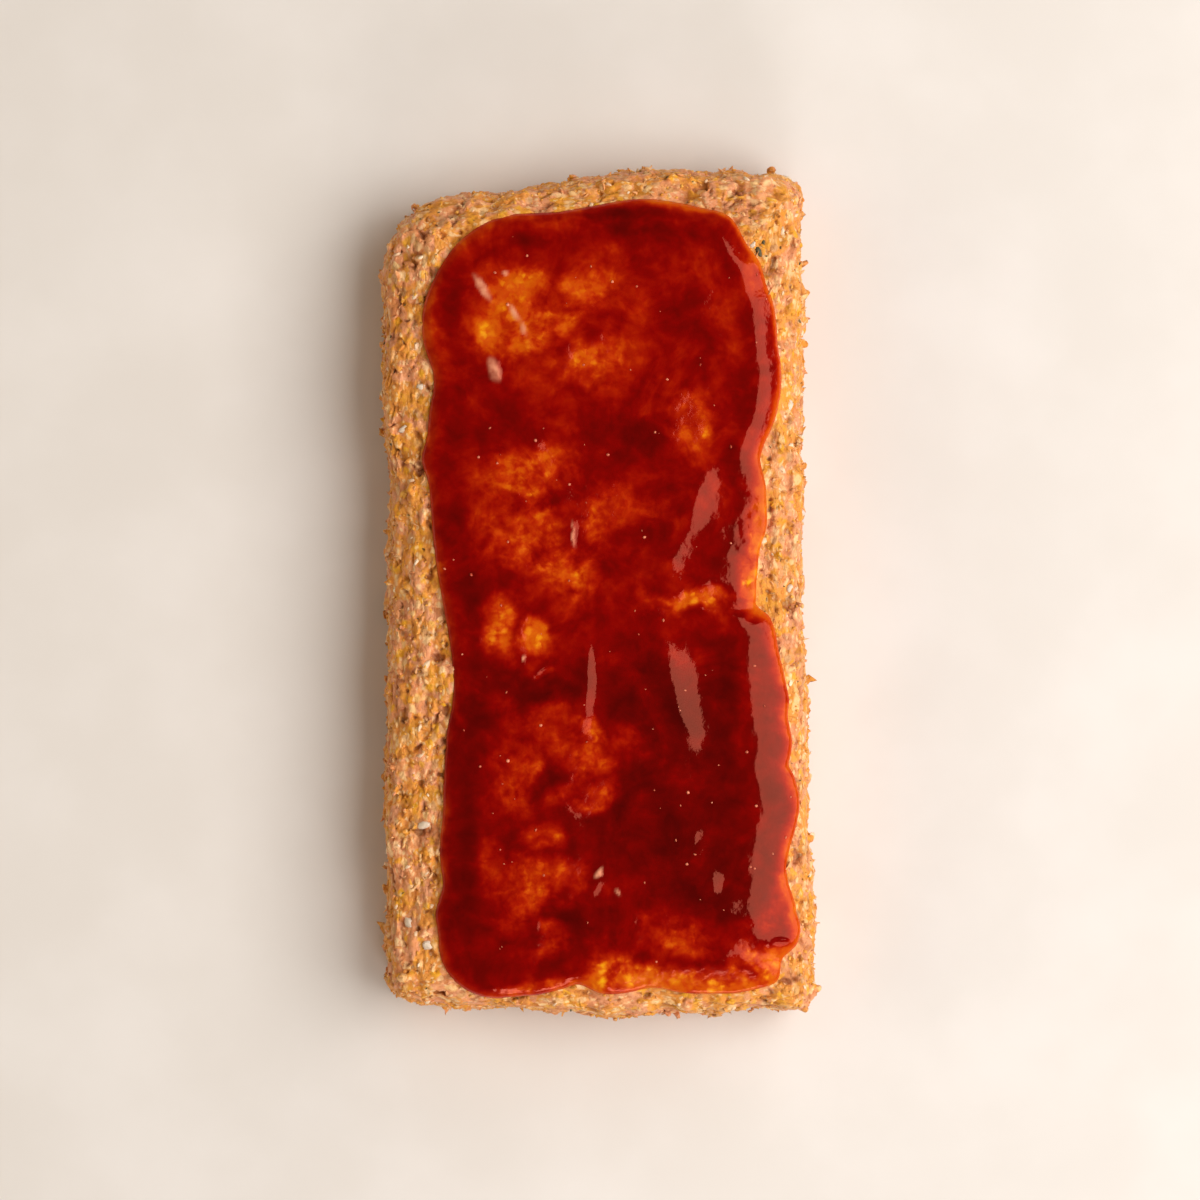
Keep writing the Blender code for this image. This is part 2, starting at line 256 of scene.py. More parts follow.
# A larger chip of onion that lies bare in the meat: its middle, its length and its turn in degrees.
ONION_CHIPS = (
    (-64.8, 54.6, 3.2, 30),
    (-58.9, 68.5, 3, 0),
    (-57.9, -76.1, 4.4, 15),
    (-62.9, -108.4, 4.3, -70),
    (-56.3, -115.7, 4.5, -10),
    (62.9, 62.5, 3.6, 80),
    (62.9, 2.1, 3.2, 60),
    (50.6, 115.2, 2.6, 40),
)
# A larger piece of leaf, in the same way.
LEAF_CHIPS = (
    (52.6, 113, 3.4, -60),
    (54, 115.6, 2.4, 70),
    (-56.5, 33, 1.8, 20),
)
# A place where the outline of the glaze is pulled about: its middle, its reach, and how far it goes.
OUTLINE_PULLS = (
    (61.2, -34.5, 2.5, 0.5, 0),
    (60.8, -40, 2.2, -0.9, 0),
    (63.3, -48.5, 3.5, 0.8, 0),
    (63, -56.5, 2.2, -1.3, 0),
    (64, -121.5, 4, -2.6, 0.4),
    (57, -129.5, 4.5, 2.6, -0.6),
    (64.5, -106, 2, -0.6, 0),
    (52.5, 44.5, 7, -2.3, 0),
    (53, 30, 8, -1.1, 0),
    (52.5, 15, 7, -2.4, 0),
    (51.7, 4.5, 6, -1.8, 0),
    (51.5, -5, 4, -0.9, 0),
    (50, 114, 6.5, -2.2, -0.4),
    (57, 103.5, 7.5, -2.7, -0.6),
    (59, 92, 8, -1.4, 0),
    (60, 82, 6, -0.9, 0),
    (40.5, 124, 6, 1.2, 1.4),
    (13, 129, 12, 0, 1.1),
    (-58.9, 44.5, 6, -2.8, 0),
    (-58, 94, 8, -1.2, 0),
    (-58.3, 83, 8, -1.2, 0),
    (-50.5, -44.5, 6, -1.2, 0),
    (-51, -54.5, 6, -1, 0),
    (-51.5, -64, 6, -1, 0),
    (-54, -104, 6, -2.6, 0),
    (-6, -129.5, 4.5, 0, 2.2),
    (-35, -134, 8, 0, -0.9),
)
# A spoon mark: where it starts and ends, its height, and its reach before and behind.
SPOON_MARKS = (
    (35, 42, 26.5, 18, 1.45, 9, 4.8),
    (27, 22, 21, 3, 1.25, 8, 4.4),
    (-4, -11, -5, -47, 0.95, 4.3, 2.3),
    (16, -6, 30, -54, 2.20, 13.5, 6.6),
    (37, -88, 36.5, -103, 1.00, 6, 3.4),
    (42, -96, 41.5, -108, 1.00, 5, 3.6),
    (49, -92, 46, -112, 1.00, 7, 6),
    (-34, 80, -35, 69, 0.55, 4, 2),
    (-9, 25, -10, 15, 0.50, 3, 1.4),
    (2, -92, -6, -100, 0.40, 3.5, 2),
    (31, -76, 30, -83, 0.30, 3, 1.6),
)
# The second spoonful laps over the first along this line.
LAP_LINE = ((18, -1), (54, -8))
LAP_HEIGHT = 0.75
LAP_WIDTH = 1.6
# A ring that a bubble left: its middle, its radii and its height.
BURST_BUBBLE = (59.5, -114.5, 3.6, 1.7, 0.5)

# The colours of raw mince: its ground, its patches, its flecks, the painted shade and painted highlight of
# its relief, and its gleam.
MINCE_TAN = (0.80, 0.315, 0.056)
MINCE_PINK = (0.80, 0.335, 0.172)
MINCE_OCHRE = (0.77, 0.325, 0.018)
MINCE_TAWNY = (0.74, 0.210, 0.036)
MINCE_DULL = (0.52, 0.160, 0.046)
MINCE_GOLDEN = (0.82, 0.385, 0.016)
MINCE_FAT = (0.94, 0.590, 0.285)
MINCE_FAT_AND_GLINT = (0.95, 0.670, 0.350)
MINCE_BROWN = (0.38, 0.100, 0.024)
MINCE_GRAIN_SHADE = (0.40, 0.105, 0.020)
MINCE_CLEFT_SHADE = (0.27, 0.060, 0.014)
MINCE_CREST_HIGHLIGHT = (0.94, 0.60, 0.27)
MINCE_GLEAM = (1.0, 0.75, 0.45, 1.0)
# The colours of loose bits, from the darkest to the lightest.
SHRED_TONES = ((0.76, 0.28, 0.07), (0.93, 0.54, 0.25))
CRUMB_TONES = ((0.70, 0.25, 0.022), (0.90, 0.46, 0.08))
ONION_TONES = ((0.84, 0.52, 0.30), (0.93, 0.74, 0.52))
HERB_TONES = ((0.030, 0.024, 0.008), (0.19, 0.13, 0.030))
CHIP_TONES = ((0.58, 0.36, 0.22), (0.88, 0.76, 0.62))
LEAF_TONES = ((0.020, 0.018, 0.008), (0.16, 0.12, 0.05))
BUBBLE_TONES = ((0.42, 0.028, 0.012), (0.78, 0.24, 0.13))
# Tomato sauce where it is thinnest over meat, over golden crumbs and over a pale shred, which also serves for
# painted highlights, and its gleam.
SAUCE_ON_MEAT = (0.88, 0.36, 0.020)
SAUCE_ON_CRUMBS = (0.92, 0.56, 0.012)
SAUCE_ON_SHRED_AND_HIGHLIGHT = (0.76, 0.30, 0.17)
SAUCE_GLEAM = (1.0, 0.27, 0.17, 1.0)
# How fast a millimetre of sauce takes up red, green and blue, and the green lost at any depth.
RED_LOSS, GREEN_LOSS, BLUE_LOSS = 0.62, 2.45, 2.8
GREEN_LOST = 0.0012
LEAST_DEPTH = 0.16

# The frame of the photograph at the height of the glaze.
PHOTO_WIDTH = 395 * MM
PHOTO_MIDDLE = (0.2 * MM, -1.9 * MM)
SENSOR = 36.0
LENS = 240.0

FLOOR_SIZE = 4.0
FLOOR_TONES = ((0.74, 0.685, 0.65), (0.785, 0.732, 0.705))
# A light: its place, its size, its power, its tint, and whether the wet glaze mirrors it.
LIGHTS = {
    "window": ((0.91, -0.05, 1.22), (1.3, 1.27), 23.2, (1.0, 0.98, 0.94), True),
    "front_gleam": ((0.25, -1.25, 0.62), (0.5, 0.35), 4.4, (1.0, 0.97, 0.94), True),
    "front_bounce": ((0.70, -1.18, 0.65), (1.2, 0.8), 3.7, (1.0, 0.95, 0.88), False),
    "back_bounce": ((1.00, 0.95, 0.65), (1.2, 0.8), 6.9, (1.0, 0.95, 0.88), False),
    "left_bounce": ((-1.30, 0.05, 0.60), (1.2, 0.8), 5.1, (1.0, 0.82, 0.52), False),
}
LIGHT_AIM = (0, 0, 0.02)
ROOM_TINT = (1.0, 0.96, 0.88, 1.0)
ROOM_LIGHT = 0.17


# Node building


class Link:
    """An output socket whose sums add Math nodes to its tree."""

    def __init__(self, bench, socket):
        self.bench = bench
        self.socket = socket

    def math(self, operation, *values):
        return self.bench.node("ShaderNodeMath", {"operation": operation}, dict(enumerate(values)))["Value"]

    def __add__(self, other):
        return self.math("ADD", self, other)

    def __radd__(self, other):
        return self.math("ADD", other, self)

    def __sub__(self, other):
        return self.math("SUBTRACT", self, other)

    def __rsub__(self, other):
        return self.math("SUBTRACT", other, self)

    def __mul__(self, other):
        return self.math("MULTIPLY", self, other)

    def __rmul__(self, other):
        return self.math("MULTIPLY", other, self)

    def __abs__(self):
        return self.math("ABSOLUTE", self)

    def exp(self):
        return self.math("EXPONENT", self)

    def clamp(self):
        return self.math("MINIMUM", self.math("MAXIMUM", self, 0.0), 1.0)

    def ramp(self, low, high):
        """0 below low, 1 above high, smooth between."""
        settings = {"interpolation_type": "SMOOTHSTEP"}
        return self.bench.node("ShaderNodeMapRange", settings, {"Value": self, 1: low, 2: high})["Result"]


class Made:
    """A new node, whose outputs are read by name."""

    def __init__(self, bench, node):
        self.bench = bench
        self.node = node

    def __getitem__(self, key):
        return Link(self.bench, find_socket(self.node.outputs, key))


def find_socket(sockets, key):
    if isinstance(key, int):
        return sockets[key]
    for socket in sockets:
        if key in (socket.identifier, socket.name):
            return socket
    raise KeyError(key)


class Bench:
    """Adds nodes to one tree."""

    def __init__(self, tree):
        self.tree = tree

    def node(self, kind, settings=None, values=None):
        made = self.tree.nodes.new(kind)
        for name, value in (settings or {}).items():
            setattr(made, name, value)
        for key, value in (values or {}).items():
            socket = find_socket(made.inputs, key)
            if isinstance(value, Link):
                self.tree.links.new(value.socket, socket)
            else:
                socket.default_value = value
        return Made(self, made)

    def mix(self, factor, first, second):
        """Colours first and second mixed by a factor."""
        values = {"Factor_Float": factor, "A_Color": colour(first), "B_Color": colour(second)}
        return self.node("ShaderNodeMix", {"data_type": "RGBA"}, values)["Result_Color"]

    def noise(self, place, size, detail=3.0, roughness=0.5, distortion=0.0):
        """A cloudy value from 0 to 1 whose blots are about a size across."""
        values = dict(Vector=place, Scale=1 / size, Detail=detail, Roughness=roughness, Distortion=distortion)
        return self.node("ShaderNodeTexNoise", None, values)["Fac"]

    def bent(self, place, size, reach):
        """A place pulled about, so that what is drawn there has uneven edges."""
        wander = self.node("ShaderNodeTexNoise", None, {"Vector": place, "Scale": 1 / size})["Color"]
        return self.vector("ADD", place, self.scaled(wander, reach))

    def vector(self, operation, first, second):
        return self.node("ShaderNodeVectorMath", {"operation": operation}, {0: first, 1: second})["Vector"]

    def scaled(self, vector, factor):
        values = {0: vector, "Scale": factor}
        return self.node("ShaderNodeVectorMath", {"operation": "SCALE"}, values)["Vector"]

    def walls(self, place):
        """The parts of a place, and how far it is from the loaf's nearest side and nearest end."""
        apart = self.node("ShaderNodeSeparateXYZ", None, {"Vector": place})
        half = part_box("loaf")[1]
        return apart, half.x - abs(apart["X"]), half.y - abs(apart["Y"])

    def drawn_out(self, place, make):
        """What make gives for a place, drawn out along the nearest wall of the loaf."""
        _, from_side, from_end = self.walls(place)
        end = (from_side - from_end).ramp(-WALL_BLEND, WALL_BLEND)
        at_side, at_end = (
            make(self.vector("MULTIPLY", place, factors))
            for factors in ((1.0, DRAWN_OUT, 1.0), (DRAWN_OUT, 1.0, 1.0))
        )
        return at_side + (at_end - at_side) * end

    def squeezed(self, place, share):
        """A place squeezed along the nearest wall of the loaf, for drawn-out grains."""
        apart, from_side, from_end = self.walls(place)
        end = from_side.math("GREATER_THAN", from_side, from_end)
        across = apart["X"] * (1 - end * (1 - share))
        along = apart["Y"] * (share + end * (1 - share))
        return self.node("ShaderNodeCombineXYZ", None, {"X": across, "Y": along, "Z": apart["Z"]})["Vector"]

    def flecks(self, place, size):
        """The distance to the middle of the nearest fleck, and three values drawn for that fleck."""
        made = self.node("ShaderNodeTexVoronoi", {"feature": "F1"}, {"Vector": place, "Scale": 1 / size})
        drawn = self.node("ShaderNodeSeparateColor", None, {"Color": made["Color"]})
        return made["Distance"], drawn["Red"], drawn["Green"], drawn["Blue"]

    def cells(self, place, size, feature, smooth=0.35):
        """The distance to the nearest of scattered points, or to the edge of its cell, in cells of a size."""
        values = {"Vector": place, "Scale": 1 / size}
        if feature == "SMOOTH_F1":
            values["Smoothness"] = smooth
        return self.node("ShaderNodeTexVoronoi", {"feature": feature}, values)["Distance"]


def new_tree(name, kinds):
    """A Geometry Nodes tree that takes and gives a geometry, with further inputs by name and kind."""
    tree = bpy.data.node_groups.new(name, "GeometryNodeTree")
    for key, kind in {"Geometry": "Geometry", **kinds}.items():
        tree.interface.new_socket(key, in_out="INPUT", socket_type="NodeSocket" + kind)
    tree.interface.new_socket("Geometry", in_out="OUTPUT", socket_type="NodeSocketGeometry")
    return tree


def colour(value):
    if isinstance(value, Link):
        return value
    return (*value, 1.0)


# Meshes


def link_object(name, mesh):
    made = bpy.data.objects.new(name, mesh)
    bpy.context.scene.collection.objects.link(made)
    return made


def mesh_of(shape, name):
    """A shape that is done, as a new mesh."""
    mesh = bpy.data.meshes.new(name)
    shape.to_mesh(mesh)
    shape.free()
    return mesh


def plain_copy(name, source):
    """A CAD node's mesh as a new object, with its loose triangles joined."""
    shape = bmesh.new()
    shape.from_mesh(frame["nodes"][source].data)
    bmesh.ops.remove_doubles(shape, verts=shape.verts, dist=1e-6)
    return link_object(name, mesh_of(shape, name))


def bake_modifiers(piece):
    """Turns what the modifiers make into the piece's own mesh."""
    result = piece.evaluated_get(bpy.context.evaluated_depsgraph_get())
    mesh = bpy.data.meshes.new_from_object(result)
    piece.modifiers.clear()
    piece.data = mesh
    return piece


def remesh(piece, grain):
    fine = piece.modifiers.new("fine", "REMESH")
    fine.mode = "VOXEL"
    fine.voxel_size = grain
    return bake_modifiers(piece)


def thin_out(piece, most):
    """Merges faces where a piece is flattest, until it has no more triangles than that."""
    piece.data.calc_loop_triangles()
    thinner = piece.modifiers.new("thinner", "DECIMATE")
    thinner.ratio = most / len(piece.data.loop_triangles)
    thinner.use_collapse_triangulate = True
    return smooth(bake_modifiers(piece))


def grow(piece, tree, inputs):
    """Runs a Geometry Nodes tree on a piece with named inputs, and keeps the result."""
    work = piece.modifiers.new("work", "NODES")
    work.node_group = tree
    for socket in tree.interface.items_tree:
        if socket.name in inputs:
            work[socket.identifier] = inputs[socket.name]
    return bake_modifiers(piece)


def smooth(piece):
    piece.data.shade_smooth()
    return piece


def vertex_places(mesh):
    places = np.empty(len(mesh.vertices) * 3, np.float32)
    mesh.vertices.foreach_get("co", places)
    return places.reshape(-1, 3).astype(float)


def set_vertex_places(mesh, places):
    mesh.vertices.foreach_set("co", places.astype(np.float32).ravel())
    mesh.update()


def store_value(mesh, name, values):
    layer = mesh.attributes.new(name, "FLOAT", "POINT")
    layer.data.foreach_set("value", np.asarray(values, np.float32))


def smoothstep(values, low, high):
    share = np.clip((values - low) / (high - low), 0.0, 1.0)
    return share * share * (3 - 2 * share)


def band(values, start, full, waning, end):
    """0 before the start and after the end, and 1 between full and waning."""
    return smoothstep(values, start, full) * (1 - smoothstep(values, waning, end))


# The outline and the level of the glaze, read from the CAD nodes


def surface_of(piece):
    return BVHTree.FromObject(piece, bpy.context.evaluated_depsgraph_get())


def met_from_above(surface, x, y):
    """Where a ray straight down meets a surface, and the surface's normal there."""
    return surface.ray_cast(Vector((x, y, 1.0)), Vector((0.0, 0.0, -1.0)))[:2]


def height_on(surface, x, y):
    """The height of a surface under a place of the plan, or None beside it."""
    spot = met_from_above(surface, x, y)[0]
    return spot.z if spot else None


def plan_outline(name, count):
    """The outline of a node seen from above, found along rays from its middle."""
    surface = surface_of(frame["nodes"][name])
    low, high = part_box(name)
    middle = (low + high) / 2
    reach = (high - low).length / 2
    points = []
    for k in range(count):
        turn = math.tau * k / count
        aim = Vector((math.cos(turn), math.sin(turn)))
        inner, outer = 0.0, reach
        for _ in range(16):
            half = (inner + outer) / 2
            spot = middle.xy + aim * half
            if height_on(surface, spot.x, spot.y) is None:
                outer = half
            else:
                inner = half
        points.append(middle.xy + aim * inner)
    return even_steps(points, count)


def even_steps(points, count):
    """A closed outline walked in equal steps."""
    closed = np.array([*points, points[0]])
    steps = np.linalg.norm(np.diff(closed, axis=0), axis=1)
    marks = np.concatenate([[0.0], np.cumsum(steps)])
    goals = np.linspace(0.0, marks[-1], count, endpoint=False)
    return np.stack([np.interp(goals, marks, closed[:, k]) for k in (0, 1)], axis=1)


def pulled(outline):
    """The outline with the small scallops and the corner that the spoon left in it."""
    for x, y, reach, across, along in OUTLINE_PULLS:
        far = np.hypot(outline[:, 0] / MM - x, outline[:, 1] / MM - y) / reach
        outline = outline + np.exp(-(far**2))[:, None] * (across * MM, along * MM)
    return outline


def outline_distance(plan, outline):
    """How far each place of the plan is from the nearest side of an outline."""
    nearest = np.full(len(plan), np.inf)
    for start, end in zip(outline, np.roll(outline, -1, axis=0)):
        side = end - start
        offset = plan - start
        along = np.clip(offset @ side / (side @ side), 0.0, 1.0)
        nearest = np.minimum(nearest, ((offset - along[:, None] * side) ** 2).sum(axis=1))
    return np.sqrt(nearest)


def within_outline(plan, outline):
    """Which places of the plan lie inside a closed outline."""
    inside = np.zeros(len(plan), bool)
    for start, end in zip(outline, np.roll(outline, -1, axis=0)):
        if start[1] == end[1]:
            continue
        crosses = (start[1] > plan[:, 1]) != (end[1] > plan[:, 1])
        meets = start[0] + (plan[:, 1] - start[1]) / (end[1] - start[1]) * (end[0] - start[0])
        inside ^= crosses & (meets > plan[:, 0])
    return inside


class LevelMap:
    """The smoothed height of the top of the meat, over the whole plan."""

    def __init__(self, name, lowest):
        surface = surface_of(frame["nodes"][name])
        low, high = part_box(name)
        self.start = np.array([low.x, low.y]) - MAP_MARGIN * MAP_PITCH
        size = (np.array([high.x, high.y]) - self.start) / MAP_PITCH + 2 * MAP_MARGIN
        self.shape = size.astype(int)
        heights = np.zeros(self.shape)
        known = np.zeros(self.shape)
        for i in range(self.shape[0]):
            for j in range(self.shape[1]):
                z = height_on(surface, *(self.start + MAP_PITCH * np.array([i, j])))
                if z is not None and z > lowest:
                    heights[i, j] = z
                    known[i, j] = 1.0
        weight = self.blur(known)
        self.heights = self.blur(heights) / np.maximum(weight, 1e-9)
        self.heights[weight < 1e-6] = lowest

    def blur(self, grid):
        reach = np.arange(-MAP_REACH, MAP_REACH + 1)
        bell = np.exp(-0.5 * (reach / MAP_BLUR) ** 2)
        bell /= bell.sum()
        for axis in (0, 1):
            grid = np.apply_along_axis(lambda row: np.convolve(row, bell, mode="same"), axis, grid)
        return grid

    def at(self, plan):
        """The height at places of the plan, by a cubic spline over the grid."""
        place = (plan - self.start) / MAP_PITCH
        cell = np.floor(place).astype(int)
        cell = np.clip(cell, 1, self.shape - 3)
        share = place - cell
        total = np.zeros(len(plan))
        for i in range(4):
            for j in range(4):
                weight = spline_weight(i, share[:, 0]) * spline_weight(j, share[:, 1])
                total += weight * self.heights[cell[:, 0] + i - 1, cell[:, 1] + j - 1]
        return total


def spline_weight(step, share):
    """The weight of one of the four grid points round a place on a cubic B-spline."""
    weights = (
        (1 - share) ** 3,
        3 * share**3 - 6 * share**2 + 4,
        -3 * share**3 + 3 * share**2 + 3 * share + 1,
        share**3,
    )
    return weights[step] / 6


def cloud(plan, size, octaves, seed):
    """Smooth noise over the plan, about -1 to 1."""
    return np.array([noise.fractal(Vector((x / size, y / size, seed)), 0.8, 2.0, octaves) for x, y in plan])


def pull(plan, size, octaves, *seeds):
    """Smooth noise with one seed for each direction, to pull a pattern's places about."""
    return np.stack([cloud(plan, size, octaves, seed) for seed in seeds], axis=1)


# Meat


def named_value(bench, name):
    return bench.node("GeometryNodeInputNamedAttribute", {"data_type": "FLOAT"}, {"Name": name})["Attribute"]


def stored(bench, geometry, domain, name, value):
    settings = {"data_type": "FLOAT", "domain": domain}
    values = {"Geometry": geometry, "Name": name, "Value": value}
    return bench.node("GeometryNodeStoreNamedAttribute", settings, values)["Geometry"]


def relief_tree():
    """Raises the mince from a smooth surface: lumps, nodules, crumbs and pits."""
    tree = new_tree("mince relief", dict.fromkeys(RELIEF, "Float"))
    bench = Bench(tree)
    given = bench.node("NodeGroupInput")
    place = bench.node("GeometryNodeInputPosition")["Position"]
    free, crevice = (named_value(bench, name) for name in ("free", "crevice"))
    coarse = bench.bent(place, 6 * MM, 4.0 * MM)
    fine = bench.bent(place, 2.4 * MM, 1.6 * MM)
    lumps = bench.noise(place, 12 * MM, 2.0) - 0.5
    nodules = bench.drawn_out(coarse, lambda spot: 0.42 - bench.cells(spot, NODULE_SIZE, "SMOOTH_F1"))
    strands = bench.drawn_out(fine, lambda spot: 0.42 - bench.cells(spot, STRAND_SIZE, "SMOOTH_F1", 0.2))
    crumbs = bench.noise(fine, CRUMB_SIZE, 3.0, 0.6) - 0.5
    rough = bench.noise(place, 8 * MM, 2.0).ramp(0.36, 0.62)
    pits = bench.noise(coarse, PIT_SIZE, 2.0, 0.5).ramp(0.60, 0.72)
    gap = bench.drawn_out(coarse, lambda spot: bench.cells(spot, CLEFT_SIZE, "DISTANCE_TO_EDGE"))
    clefts = (1 - gap.ramp(0.0, 0.13)) * bench.noise(place, 6 * MM, 2.0).ramp(0.46, 0.60)
    rise = lumps * given["Lump height"] + nodules * given["Nodule height"] * (rough * 0.7 + 0.5)
    rise = rise + (strands + crumbs * 1.2) * given["Crumb height"] * (rough * 0.9 + 0.15)
    rise = (rise - ((pits + clefts * 0.6).clamp() + crevice * 0.9) * given["Pit depth"]) * free
    # The relief's height is kept for the painted shade in clefts and the painted highlight on crests.
    kept = stored(bench, given["Geometry"], "POINT", "rise", rise * (1 / MM))
    push = bench.scaled(bench.node("GeometryNodeInputNormal")["Normal"], rise)
    moved = bench.node("GeometryNodeSetPosition", None, {"Geometry": kept, "Offset": push})["Geometry"]
    bench.node("NodeGroupOutput", None, {"Geometry": moved})
    return tree


def close_hole(shape, hidden):
    """Takes out the faces that nobody sees, and closes the hole with one flat face."""
    before = set(shape.faces)
    bmesh.ops.delete(shape, geom=hidden, context="FACES")
    rim = [e for e in shape.edges if e.is_boundary]
    bmesh.ops.holes_fill(shape, edges=rim, sides=0)
    bmesh.ops.triangulate(shape, faces=[f for f in shape.faces if f not in before])


def crevices(plan):
    """How far each place of the plan lies in one of the named crevices, from 0 to 1."""
    depth = np.zeros(len(plan))
    for x, y, across, along, turn in CREVICES:
        near = np.flatnonzero(np.hypot(plan[:, 0] / MM - x, plan[:, 1] / MM - y) < 2.5 * along)
        place = plan[near] / MM + 1.6 * pull(plan[near], 2.5 * MM, 2, 5.2, 9.1)
        depth[near] = np.maximum(depth[near], blot(place, x, y, across, along, turn))
    return depth


def make_meat(glaze_outline):
    """The loaf of mince, fine where it shows and plain under the glaze and below."""
    meat = remesh(plain_copy("meat", "loaf"), MEAT_GRAIN)
    shape = bmesh.new()
    shape.from_mesh(meat.data)
    middle = np.array([f.calc_center_median()[:] for f in shape.faces])
    under = within_outline(middle[:, :2], glaze_outline)
    under &= outline_distance(middle[:, :2], glaze_outline) > HIDDEN_INSET
    high = middle[:, 2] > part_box("glaze")[0].z
    faces = list(shape.faces)
    close_hole(shape, [f for f, low in zip(faces, middle[:, 2] < FLAT_BASE) if low])
    close_hole(shape, [f for f, out in zip(faces, under & high) if out and f.is_valid])
    bmesh.ops.recalc_face_normals(shape, faces=shape.faces)
    shape.to_mesh(meat.data)
    shape.free()

    places = vertex_places(meat.data)
    plan = places[:, :2]
    inside = within_outline(plan, glaze_outline) & (places[:, 2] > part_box("glaze")[0].z)
    edge = outline_distance(plan, glaze_outline) * np.where(inside, -1.0, 1.0)
    free = smoothstep(places[:, 2], FLAT_BASE, BITS_LOWEST)
    free *= RELIEF_UNDER_RIM + (1 - RELIEF_UNDER_RIM) * smoothstep(edge, -1.5 * MM, 1.0 * MM)
    free[edge < -HIDDEN_INSET + 2 * MEAT_GRAIN] = 0.0
    room = smoothstep(places[:, 2], BITS_LOWEST, 2 * BITS_LOWEST) * (edge > -0.2 * MM)
    foot = band(places[:, 2], FOOT_LOWEST, 2 * FOOT_LOWEST, FOOT_HIGHEST, 2 * FOOT_HIGHEST)
    for name, values in {"free": free, "room": room, "foot": foot, "crevice": crevices(plan)}.items():
        store_value(meat.data, name, values)
    grow(meat, relief_tree(), RELIEF)
    meat.data.materials.clear()
    meat.data.materials.append(mince_finish())
    return smooth(meat)


# Loose bits on the meat


def bit_shapes(name, draw, count, longest, wide, thick, sides, bend, ragged):
    """A few uneven small lumps, to be picked from at random, with their measures in millimetres."""
    collection = bpy.data.collections.new(name)
    for k in range(count):
        shape = bmesh.new()
        bmesh.ops.create_uvsphere(shape, u_segments=sides, v_segments=sides - 1, radius=0.5)
        seed = Vector([draw.uniform(0, 50) for _ in range(3)])
        side = 1 if k % 2 else -1
        for vert in shape.verts:
            swell = 1 + 0.35 * noise.noise(vert.co * 2.6 + seed) + ragged * noise.noise(vert.co * 7.0 + seed)
            x, y, z = Vector((vert.co.x * longest, vert.co.y * wide, vert.co.z * thick)) * swell
            bow = bend * x**2 / longest
            vert.co = Vector((x, y + side * bow, z + 0.5 * bow)) * MM
        mesh = mesh_of(shape, name)
        mesh.shade_smooth()
        collection.objects.link(bpy.data.objects.new(name, mesh))
    return collection


def scatter_tree():
    """Sets uneven bits into a surface, each turned and sized at random."""
    kinds = dict.fromkeys(BIT_INPUTS, "Float")
    kinds.update(Room="String", Seed="Int", Shapes="Collection", Finish="Material")
    tree = new_tree("scatter", kinds)
    bench = Bench(tree)
    given = bench.node("NodeGroupInput")
    room = named_value(bench, given["Room"])
    apart = bench.vector("ADD", bench.node("GeometryNodeInputPosition")["Position"], given["Seed"] * 0.01)
    clumped = bench.noise(apart, 8 * MM, 2.0).ramp(0.44, 0.60)
    room = room * (1 - given["Clump"] + given["Clump"] * clumped)
    spread = bench.node(
        "GeometryNodeDistributePointsOnFaces",
        {"distribute_method": "POISSON"},
        {
            "Mesh": given["Geometry"],
            "Distance Min": given["Spacing"],
            "Density Max": given["Density"],
            "Density Factor": room,
            "Seed": given["Seed"],
        },
    )
    size = random_float(bench, given["Smallest"], given["Largest"], given["Seed"] + 1)
    lift = bench.scaled(spread["Normal"], given["Lift"] * size)
    moved = bench.node("GeometryNodeSetPosition", None, {"Geometry": spread["Points"], "Offset": lift})
    about = {
        "X": random_float(bench, -math.pi, math.pi, given["Seed"] + 2),
        "Y": random_float(bench, -1.0, 1.0, given["Seed"] + 3) * given["Lean"],
        "Z": random_float(bench, -math.pi, math.pi, given["Seed"] + 4),
    }
    lean = bench.node("ShaderNodeCombineXYZ", None, about)["Vector"]
    spin = bench.node("FunctionNodeEulerToRotation", None, {"Euler": lean})["Rotation"]
    turned = bench.node(
        "FunctionNodeRotateRotation",
        {"rotation_space": "LOCAL"},
        {"Rotation": spread["Rotation"], "Rotate By": spin},
    )["Rotation"]
    shapes = bench.node(
        "GeometryNodeCollectionInfo",
        None,
        {"Collection": given["Shapes"], "Separate Children": True, "Reset Children": True},
    )["Instances"]
    laid = bench.node(
        "GeometryNodeInstanceOnPoints",
        None,
        {
            "Points": moved["Geometry"],
            "Instance": shapes,
            "Pick Instance": True,
            "Rotation": turned,
            "Scale": bench.node("ShaderNodeCombineXYZ", None, {"X": size, "Y": size, "Z": size})["Vector"],
        },
    )["Instances"]
    toned = stored(bench, laid, "INSTANCE", "tone", random_float(bench, 0.0, 1.0, given["Seed"] + 5))
    real = bench.node("GeometryNodeRealizeInstances", None, {"Geometry": toned})["Geometry"]
    done = bench.node("GeometryNodeSetMaterial", None, {"Geometry": real, "Material": given["Finish"]})
    bench.node("NodeGroupOutput", None, {"Geometry": done["Geometry"]})
    return tree


def random_float(bench, low, high, seed):
    values = {"Min_001": low, "Max_001": high, "Seed": seed}
    return bench.node("FunctionNodeRandomValue", {"data_type": "FLOAT"}, values)["Value_001"]


def scatter(name, ground, draw, finish):
    """One piece of loose bits, shaped and strewn over the ground as the tables say."""
    piece = link_object(name, ground.data.copy())
    shapes = bit_shapes(name + "_shape", draw, *BIT_SHAPES[name])
    grow(piece, bits_tree, dict(zip(BIT_INPUTS, BITS_STREWN[name]), Shapes=shapes, Finish=finish))
    for sample in list(shapes.objects):
        bpy.data.objects.remove(sample)
    bpy.data.collections.remove(shapes)
    return piece


